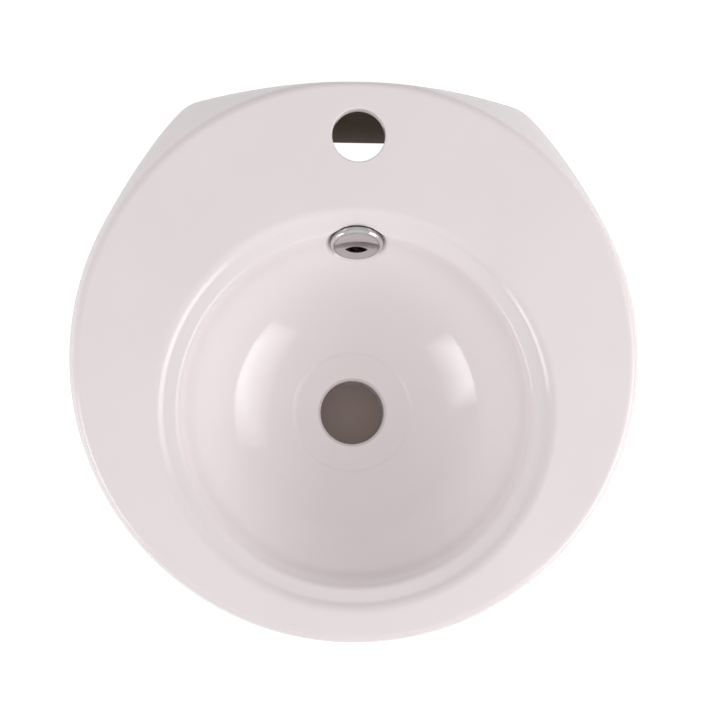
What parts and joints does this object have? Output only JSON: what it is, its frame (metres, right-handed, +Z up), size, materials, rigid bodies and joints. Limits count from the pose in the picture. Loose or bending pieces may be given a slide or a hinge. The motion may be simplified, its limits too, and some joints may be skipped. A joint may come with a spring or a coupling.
{
  "type": "round vessel sink",
  "caption": "Round glazed ceramic hand basin with a flat back for the wall, an off-centre bowl, a tap hole and a push-in chrome overflow ring.",
  "frame": {"origin": "middle of the footprint, on the surface that the basin stands on", "axes": "+Z up, +Y from the bowl to the flat back and the wall, +X to the right seen from the front"},
  "size_m": [0.378, 0.369, 0.16],
  "materials": {
    "glaze": "gloss",
    "chrome": "polished",
    "soft_grey": "matte",
    "black_rubber": "matte"
  },
  "bodies": {
    "basin": {"basin_body": "glaze"},
    "overflow_trim": {"overflow_ring": "chrome", "overflow_bush": "soft_grey", "overflow_seal": "black_rubber"}
  },
  "joints": [
    {"name": "overflow_pull", "type": "slide", "parent": "basin", "child": "overflow_trim", "axis": [0, -0.8988, 0.4384], "range_m": [0, 0.025]}
  ]
}
